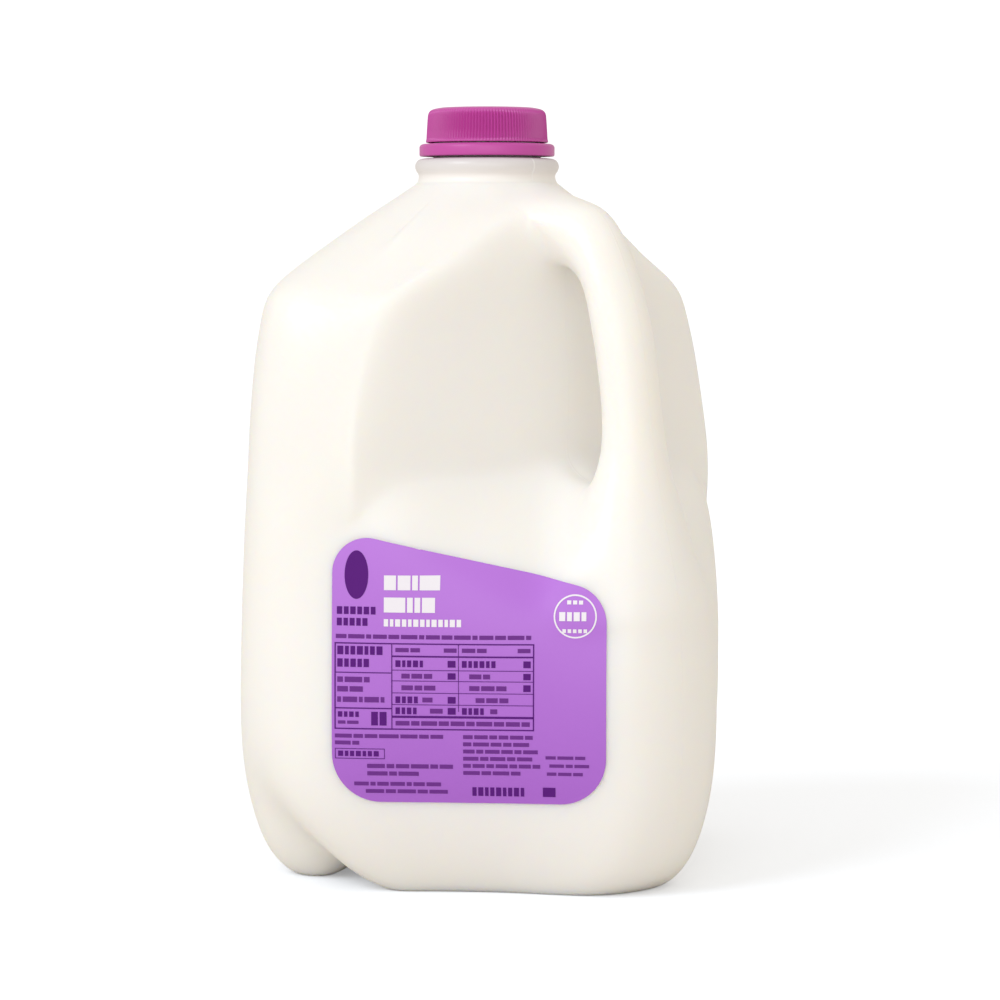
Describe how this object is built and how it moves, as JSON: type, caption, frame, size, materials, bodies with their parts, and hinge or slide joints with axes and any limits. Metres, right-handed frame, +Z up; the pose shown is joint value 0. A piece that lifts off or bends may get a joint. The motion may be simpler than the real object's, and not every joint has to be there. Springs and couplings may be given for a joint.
{
  "type": "milk jug",
  "caption": "Square plastic milk jug with a corner handle beside a finger pocket, a ribbed screw cap on a tamper band, and a plain coloured face label; filled and shut.",
  "frame": {"origin": "centre of the base on the floor, straight below the neck's axis", "axes": "+Z up along the neck; +X towards the handle's corner; the mould seam lies in the plane y = 0; the label's face looks along +X and -Y"},
  "size_m": [0.1891, 0.1894, 0.2528],
  "materials": {
    "bottle_plastic": "translucent natural polyethylene, satin",
    "milk_liquid": "white skim milk, seen through the bottle's wall",
    "cap_plastic": "magenta polyethylene, satin, finely ribbed",
    "band_plastic": "magenta polyethylene, satin, smooth",
    "label_film": "violet printed film, satin"
  },
  "bodies": {
    "root": {"bottle": "bottle_plastic", "milk": "milk_liquid", "cap": "cap_plastic", "tamper_band": "band_plastic", "label": "label_film"}
  },
  "joints": []
}
